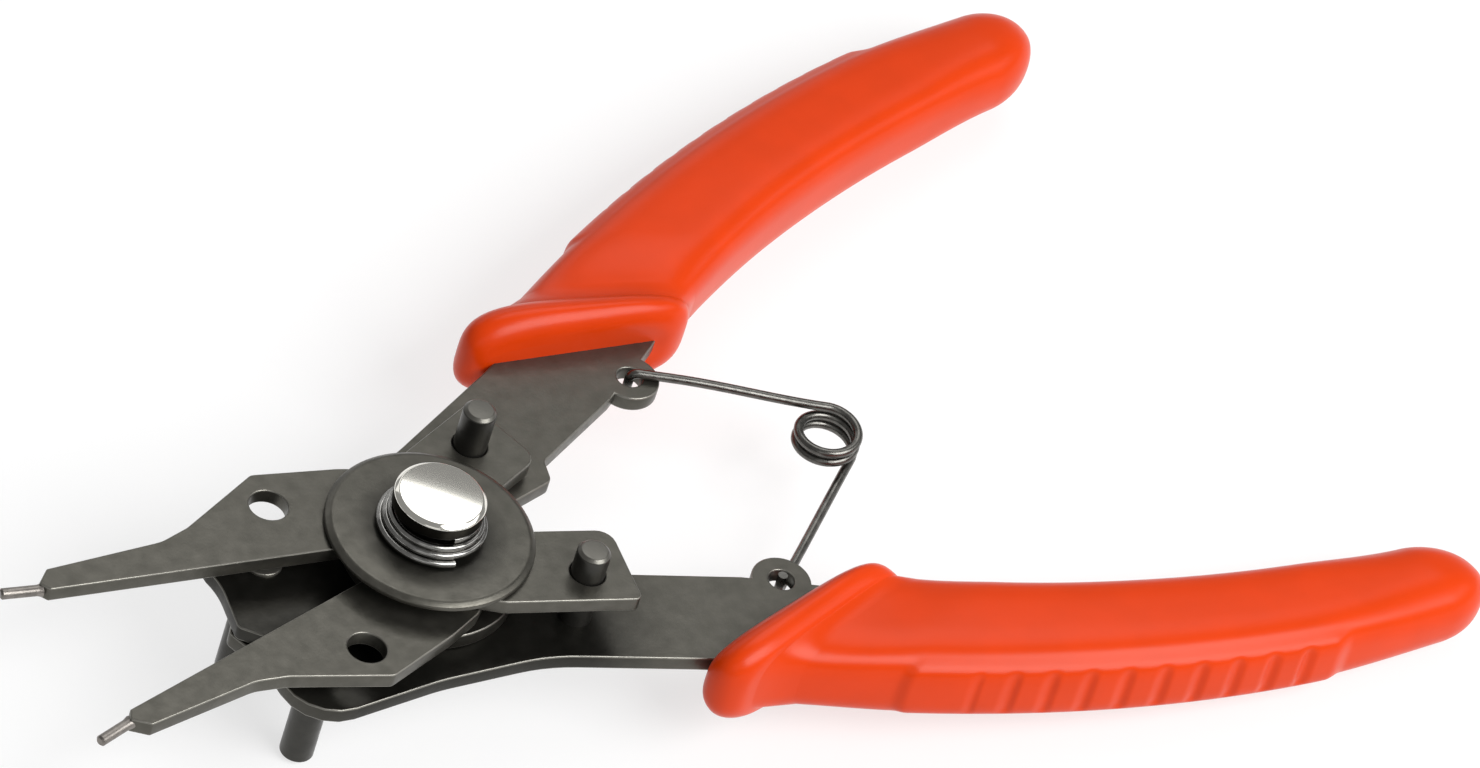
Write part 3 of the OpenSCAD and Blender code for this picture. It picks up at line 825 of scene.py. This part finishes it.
smooth_grips = {side: grip_mesh(side, sign) for side, sign in (("upper", 1), ("lower", -1))}
print("grip points:", {side: len(mesh.vertices) for side, mesh in smooth_grips.items()})


# %% [markdown]
# ## Geometry Nodes for what repeats
# The pad's grooves repeat along the grip, and the springs are wire that follows a path. Both are made by
# small node trees: one presses the same groove into the pad again and again, one winds a spiral, one sweeps
# a round wire along any path. The result is turned into a plain mesh straight away.

# %% Tree helpers
WIRE_SIDES = 16
SWEEP_SHARP = 60  # degrees


def new_tree(name, inputs):
    """An empty tree with named inputs, which takes and gives geometry."""
    tree = bpy.data.node_groups.new(name, "GeometryNodeTree")
    tree.interface.new_socket("Geometry", in_out="INPUT", socket_type="NodeSocketGeometry")
    for label, kind in inputs.items():
        tree.interface.new_socket(label, in_out="INPUT", socket_type="NodeSocket" + kind)
    tree.interface.new_socket("Geometry", in_out="OUTPUT", socket_type="NodeSocketGeometry")
    return tree, tree.nodes.new("NodeGroupInput").outputs


def end_tree(tree, given, geometry):
    """Shade smooth, realize, set the material, and out."""
    last = geometry
    for kind in ("GeometryNodeSetShadeSmooth", "GeometryNodeRealizeInstances", "GeometryNodeSetMaterial"):
        node = tree.nodes.new(kind)
        tree.links.new(last, node.inputs["Geometry"])
        last = node.outputs["Geometry"]
    tree.links.new(given["Material"], node.inputs["Material"])
    tree.links.new(last, tree.nodes.new("NodeGroupOutput").inputs["Geometry"])


def run_tree(tree, name, base_mesh, values):
    """A plain mesh from the tree, with its inputs set before it is evaluated."""
    maker = bpy.data.objects.new(name + "_maker", base_mesh)
    bpy.context.scene.collection.objects.link(maker)
    modifier = maker.modifiers.new("nodes", "NODES")
    modifier.node_group = tree
    for item in tree.interface.items_tree:
        if item.in_out == "INPUT" and item.name in values:
            modifier[item.identifier] = values[item.name]
    graph = bpy.context.evaluated_depsgraph_get()
    mesh = bpy.data.meshes.new_from_object(maker.evaluated_get(graph), depsgraph=graph)
    bpy.data.objects.remove(maker)
    mesh.name = name
    mesh.set_sharp_from_angle(angle=math.radians(SWEEP_SHARP))
    return mesh


def sweep_wire(tree, path, radius):
    """Round wire along a path, with its ends closed."""
    circle = tree.nodes.new("GeometryNodeCurvePrimitiveCircle")
    circle.inputs["Resolution"].default_value = WIRE_SIDES
    sweep = tree.nodes.new("GeometryNodeCurveToMesh")
    sweep.inputs["Fill Caps"].default_value = True
    tree.links.new(radius, circle.inputs["Radius"])
    tree.links.new(path, sweep.inputs["Curve"])
    tree.links.new(circle.outputs["Curve"], sweep.inputs["Profile Curve"])
    return sweep.outputs["Mesh"]


# %% [markdown]
# ## Grooves on the pad
# Rounded grooves across the pad stop the palm from slipping. They could be modelled one by one, but the mesh
# already carries how far along the pad each point lies. So the tree only takes the fraction of that over the
# spacing, which says where between two grooves a point is, and presses it in by a smooth dip.

# %% Groove tree
DIP_START, DIP_MIDDLE = 0.22, 0.5  # shares of the spacing


def math_node(tree, operation, *values):
    """The result of one operation. Each value is a number or the output of another node."""
    node = tree.nodes.new("ShaderNodeMath")
    node.operation = operation
    for socket, value in zip(node.inputs, values):
        if isinstance(value, bpy.types.NodeSocket):
            tree.links.new(value, socket)
        else:
            socket.default_value = value
    return node.outputs["Value"]


def named(tree, name, kind):
    """An attribute that the mesh carries."""
    node = tree.nodes.new("GeometryNodeInputNamedAttribute")
    node.data_type = kind
    node.inputs["Name"].default_value = name
    return node.outputs["Attribute"]


def ease(tree, value, start, end):
    """A smooth step from 0, where the value is at start, to 1, where it is at end."""
    node = tree.nodes.new("ShaderNodeMapRange")
    node.interpolation_type = "SMOOTHSTEP"
    node.inputs["From Min"].default_value = start
    node.inputs["From Max"].default_value = end
    tree.links.new(value, node.inputs["Value"])
    return node.outputs["Result"]


def groove_tree():
    """Rounded grooves pressed across a pad, one in the middle of each spacing."""
    tree, given = new_tree("grooved_pad", {"Spacing": "Float", "Depth": "Float", "Material": "Material"})
    count = math_node(tree, "DIVIDE", named(tree, "along", "FLOAT"), given["Spacing"])
    part = math_node(tree, "FRACT", count)
    way_in = ease(tree, part, DIP_START, DIP_MIDDLE)
    way_back = ease(tree, math_node(tree, "SUBTRACT", 1.0, part), DIP_START, DIP_MIDDLE)
    dip = math_node(tree, "MINIMUM", way_in, way_back)
    share = math_node(tree, "MULTIPLY", dip, named(tree, "grooved", "FLOAT"))
    inward = math_node(tree, "MULTIPLY", math_node(tree, "MULTIPLY", share, given["Depth"]), -1.0)
    move = tree.nodes.new("ShaderNodeVectorMath")
    move.operation = "SCALE"
    tree.links.new(named(tree, "way_out", "FLOAT_VECTOR"), move.inputs["Vector"])
    tree.links.new(inward, move.inputs["Scale"])
    press = tree.nodes.new("GeometryNodeSetPosition")
    tree.links.new(given["Geometry"], press.inputs["Geometry"])
    tree.links.new(move.outputs["Vector"], press.inputs["Offset"])
    end_tree(tree, given, press.outputs["Geometry"])
    return tree


grooves = groove_tree()
print("tree:", grooves.name, "nodes:", len(grooves.nodes))

# %% Grooved grips
GROOVE_SPACING, GROOVE_DEPTH = 4.7, 0.5

for side in ("upper", "lower"):
    mesh = run_tree(grooves, f"{side}_handle_grip", smooth_grips[side], {
        "Spacing": GROOVE_SPACING, "Depth": GROOVE_DEPTH * MM, "Material": vinyl})
    for name in ("along", "grooved", "way_out"):
        mesh.attributes.remove(mesh.attributes[name])
    grip = piece(f"{side}_handle_grip", mesh, vinyl, f"{side}_handle", f"{side}_grip")
    print(grip.name, "faces:", len(mesh.polygons), "size mm:", in_mm(grip.dimensions))


# %% [markdown]
# ## Knob spring
# A conical spring presses the knob up and the disc down. It shortens from below when the disc is lifted and
# from above when the knob is pressed, so it is made as two halves that meet in the middle of its height,
# where it stays still.

# %% Knob spring tree
TURN_POINTS = 64


def cone_spring_tree():
    """Conical coil: a spiral with a bottom radius, a top radius and a height, swept by a round wire."""
    tree, given = new_tree("conical_spring", {
        "Turns": "Float", "Bottom Radius": "Float", "Top Radius": "Float", "Height": "Float",
        "Wire Radius": "Float", "Base": "Vector", "Turned": "Vector", "Material": "Material"})
    spiral = tree.nodes.new("GeometryNodeCurveSpiral")
    spiral.inputs["Resolution"].default_value = TURN_POINTS
    for label, socket in (("Turns", "Rotations"), ("Bottom Radius", "Start Radius"),
                          ("Top Radius", "End Radius"), ("Height", "Height")):
        tree.links.new(given[label], spiral.inputs[socket])
    place = tree.nodes.new("GeometryNodeTransform")
    tree.links.new(spiral.outputs["Curve"], place.inputs["Geometry"])
    tree.links.new(given["Base"], place.inputs["Translation"])
    tree.links.new(given["Turned"], place.inputs["Rotation"])
    end_tree(tree, given, sweep_wire(tree, place.outputs["Geometry"], given["Wire Radius"]))
    return tree


cone_spring = cone_spring_tree()
print("tree:", cone_spring.name, "nodes:", len(cone_spring.nodes))

# %% Knob spring
TURNS, WIDE, NARROW, CONE_WIRE = 2.9, 6.35, 4.8, 0.45
CONE_START = math.radians(-100)
low, high = (corner[2] for corner in box_mm("knob_spring"))
middle = (low + high) / 2
rise = (high - low - 2 * CONE_WIRE) / 2
radii = [WIDE, (WIDE + NARROW) / 2, NARROW]
for half, name, below, above, start, end in (
        (0, "cone_spring_low", "disc", "upper_handle", low, middle),
        (1, "cone_spring_high", "upper_handle", "plunger", middle, high)):
    mesh = run_tree(cone_spring, name, bpy.data.meshes.new("cone"), {
        "Turns": TURNS / 2, "Bottom Radius": radii[half] * MM, "Top Radius": radii[half + 1] * MM,
        "Height": rise * MM, "Wire Radius": CONE_WIRE * MM,
        "Base": Vector((0, 0, low + CONE_WIRE + half * rise)) * MM,
        "Turned": Vector((0, 0, CONE_START + half * math.pi * TURNS)), "Material": coil_steel})
    coil = free_piece(name, mesh, coil_steel)
    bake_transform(coil)
    if half == 0:
        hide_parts("knob_spring")
    print(name, "size mm:", in_mm(coil.dimensions))


# %% [markdown]
# ## Return spring
# One length of wire pushes the handles apart. Each end hooks into a lug hole, and the coil between the legs
# winds up as the handles close. The legs turn about their hooks.
# The CAD joints say where the hook and the coil are, so the path is worked out from them.

# %% Wire tree
def wire_tree():
    """Round wire along a path."""
    tree, given = new_tree("wire_along_path", {"Radius": "Float", "Material": "Material"})
    curve = tree.nodes.new("GeometryNodeMeshToCurve")
    tree.links.new(given["Geometry"], curve.inputs["Mesh"])
    end_tree(tree, given, sweep_wire(tree, curve.outputs["Curve"], given["Radius"]))
    return tree


def path_mesh(name, points):
    """A mesh of points in mm, with an edge from each to the next."""
    mesh = bpy.data.meshes.new(name + "_path")
    mesh.from_pydata([tuple(p * MM) for p in points], [(i, i + 1) for i in range(len(points) - 1)], [])
    return mesh


wire = wire_tree()
print("tree:", wire.name, "nodes:", len(wire.nodes))

# %% Return spring path
COIL_R, WIRE_R, PITCH, WHOLE_TURNS, COIL_POINTS = 3.5, 0.575, 1.4, 2, 150
WIRE_GAP = 0.1  # from a leg to its plate
FLAT, BEND, DEPTH = 5.0, 0.9, 3.4  # level start of a leg, radius of its hook's bend, and the hook's depth
BEND_POINTS, FLAT_POINTS, LEG_POINTS = 9, 6, 12
joints = {joint["name"]: joint for joint in frame["record"]["behaviour"]["joints"]}
LUG = np.array(joints["spring_swing"]["pos_m"][:2]) / MM
COIL = np.array(joints["spring_wind"]["pos_m"][:2]) / MM
lug_low = LUG * [1, -1]
leg_high_z = plate_top + WIRE_R + WIRE_GAP
leg_low_z = plate_bottom - WIRE_R - WIRE_GAP


def leave_angle(hole, side):
    """The angle at which a straight leg from a hole touches the coil."""
    arm = hole - COIL
    return math.atan2(arm[1], arm[0]) - side * math.acos(COIL_R / np.linalg.norm(arm))


first, last = leave_angle(LUG, 1), leave_angle(lug_low, -1)
sweep = first - last + 2 * math.pi * WHOLE_TURNS


def coil_point(a):
    """A point of the coil, an angle away from its upper leg."""
    z = (leg_high_z + leg_low_z) / 2 + PITCH * (sweep / 2 - a) / (2 * math.pi)
    return np.array([COIL[0] + COIL_R * math.cos(first - a), COIL[1] + COIL_R * math.sin(first - a), z])


def leg_path(hole, end, z, side):
    """From the hook in a lug hole, round its bend and along the leg to the coil's end."""
    span = np.linalg.norm(end[:2] - hole)
    leg = (end[:2] - hole) / span
    path = [np.array([*hole, z - side * DEPTH]), np.array([*hole, z - side * (DEPTH + BEND) / 2])]
    for a in np.radians(np.linspace(0, 90, BEND_POINTS)):
        spot = hole + leg * BEND * (1 - math.cos(a))
        path.append(np.array([*spot, z - side * BEND * (1 - math.sin(a))]))
    bend_end = path[-1]
    flat_end = np.array([*(hole + leg * FLAT), z])
    for t in np.linspace(0.1, 1, FLAT_POINTS):
        path.append(bend_end * (1 - t) + flat_end * t)
    for t in np.linspace(0, 1, LEG_POINTS + 1)[1:]:
        spot = hole + leg * (FLAT + (span - FLAT) * t)
        path.append(np.array([*spot, z + (end[2] - z) * smooth(t)]))
    return path


turns = [coil_point(a) for a in np.linspace(0, sweep, COIL_POINTS)]
print("coil turns:", round(sweep / (2 * math.pi), 2))
print("legs at z mm:", round(leg_high_z, 2), round(leg_low_z, 2))

# %% Return spring
settings = {"Radius": WIRE_R * MM, "Material": spring_steel}
for side, hole, end, z, sign in (("upper", LUG, turns[0], leg_high_z, 1),
                                 ("lower", lug_low, turns[-1], leg_low_z, -1)):
    name = f"spring_leg_{side}"
    mesh = run_tree(wire, name, path_mesh(name, leg_path(hole, end, z, sign)), settings)
    piece(name, mesh, spring_steel, f"spring_{side}", f"return_spring_{side}")
mesh = run_tree(wire, "spring_coil", path_mesh("spring_coil", turns), settings)
wound = free_piece("spring_coil", mesh, spring_steel)
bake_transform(wound)
print("coil size mm:", in_mm(wound.dimensions))


# %% [markdown]
# ## Floor
# The pliers lie on the ends of their front pins and on the grips, so the floor tilts a little in the tool's
# own frame. The paper glows a little, which keeps it white without more light on the tool.

# %% Floor
FLOOR_AT = Vector((-17.0, 0, -10.6))  # mm, under the front pins
FLOOR_RISE, FLOOR_RUN = 9.5, 133  # mm, from the front pins to the grips
FLOOR_HALF = 3  # metres
corners = [(x * FLOOR_HALF, y * FLOOR_HALF, 0) for x, y in ((-1, -1), (1, -1), (1, 1), (-1, 1))]
floor_mesh = bpy.data.meshes.new("floor")
floor_mesh.from_pydata(corners, [], [(0, 1, 2, 3)])
paper = shader("white_paper", Base_Color=(0.31, 0.31, 0.31, 1), Roughness=0.9, Specular_IOR_Level=0.0,
               Emission_Color=(1, 1, 1, 1), Emission_Strength=0.68)[0]
floor_mesh.materials.append(paper)
floor = bpy.data.objects.new("floor", floor_mesh)
tilt = math.atan2(FLOOR_RISE, FLOOR_RUN)
floor.matrix_world = Matrix.Translation(FLOOR_AT * MM) @ Matrix.Rotation(-tilt, 4, "Y")
bpy.context.scene.collection.objects.link(floor)
print("floor tilt in degrees:", round(math.degrees(tilt), 1))


# %% [markdown]
# ## Light
# Broad soft lights give the open shadows of a catalogue picture. A shiny face shows the light that it
# mirrors towards the camera, so where a light stands decides which faces look bright.

# %% Light
# Each light has its place and its target in metres, its width and height, and its power in watts.
LIGHTS = {"key": ((0.25, -0.71, 0.73), (0.06, -0.04, 0), (0.8, 0.6), 12.0),
          "strip": ((0.75, -0.42, 0.5), (0.06, 0, 0), (0.6, 0.25), 0.8),
          "fill": ((-0.55, -0.6, 0.45), (0, 0, 0), (0.5, 0.5), 0.5),
          "back": ((0.339, 0.311, 0.791), (0, 0, 0.018), (0.6, 0.52), 2.1),
          "backdrop": ((0.18, 0.95, 0.42), (0, 0, 0.012), (1.0, 0.4), 1.0)}
WORLD_LIGHT = 0.28

for name, (place, target, size, power) in LIGHTS.items():
    data = bpy.data.lights.new(name, "AREA")
    data.shape = "RECTANGLE"
    data.size, data.size_y = size
    data.energy = power
    light = bpy.data.objects.new(name, data)
    light.location = place
    light.rotation_euler = (Vector(target) - Vector(place)).to_track_quat("-Z", "Y").to_euler()
    bpy.context.scene.collection.objects.link(light)
world = bpy.data.worlds.new("studio")
world.use_nodes = True
background = world.node_tree.nodes["Background"]
background.inputs["Color"].default_value = (1.0, 1.0, 1.0, 1)
background.inputs["Strength"].default_value = WORLD_LIGHT
bpy.context.scene.world = world
print("lights:", list(LIGHTS))


# %% [markdown]
# ## Camera
# The camera stands well back with a long lens, so the two handles keep their true sizes.

# %% Camera
AZIMUTH, ELEVATION, ROLL = (math.radians(v) for v in (-47.466, 42.312, 18.625))
DISTANCE, AIM_RIGHT, AIM_UP = 1282.0, 35.01, 16.218  # mm, from the middle of the disc's top
FOCAL_PIXELS, PHOTO_WIDTH, SENSOR = 11303.5, 1480, 36
look = np.array([-math.sin(AZIMUTH) * math.cos(ELEVATION), math.cos(AZIMUTH) * math.cos(ELEVATION),
                 -math.sin(ELEVATION)])
level = np.array([math.cos(AZIMUTH), math.sin(AZIMUTH), 0])
upright = np.cross(level, look)
right = math.cos(ROLL) * level + math.sin(ROLL) * upright
up = math.cos(ROLL) * upright - math.sin(ROLL) * level
disc_top = np.array([0, 0, axis_size("pressure_disc")[2]])
spot = disc_top + AIM_RIGHT * right + AIM_UP * up - DISTANCE * look
camera_data = bpy.data.cameras.new("camera")
camera_data.sensor_width = SENSOR
camera_data.lens = FOCAL_PIXELS / PHOTO_WIDTH * SENSOR
camera_data.clip_start, camera_data.clip_end = 0.05, 20
camera = bpy.data.objects.new("camera", camera_data)
camera.matrix_world = Matrix.Translation(spot * MM) @ Matrix((right, up, -look)).transposed().to_4x4()
bpy.context.scene.collection.objects.link(camera)
bpy.context.scene.camera = camera
bpy.context.scene.view_settings.view_transform = "Standard"
print("lens mm:", round(camera_data.lens, 1), "camera at m:", [round(x, 3) for x in camera.location])


# %% [markdown]
# ## Sizes
# Looks must not change the tool's size.

# %% Scene update
bpy.context.view_layer.update()
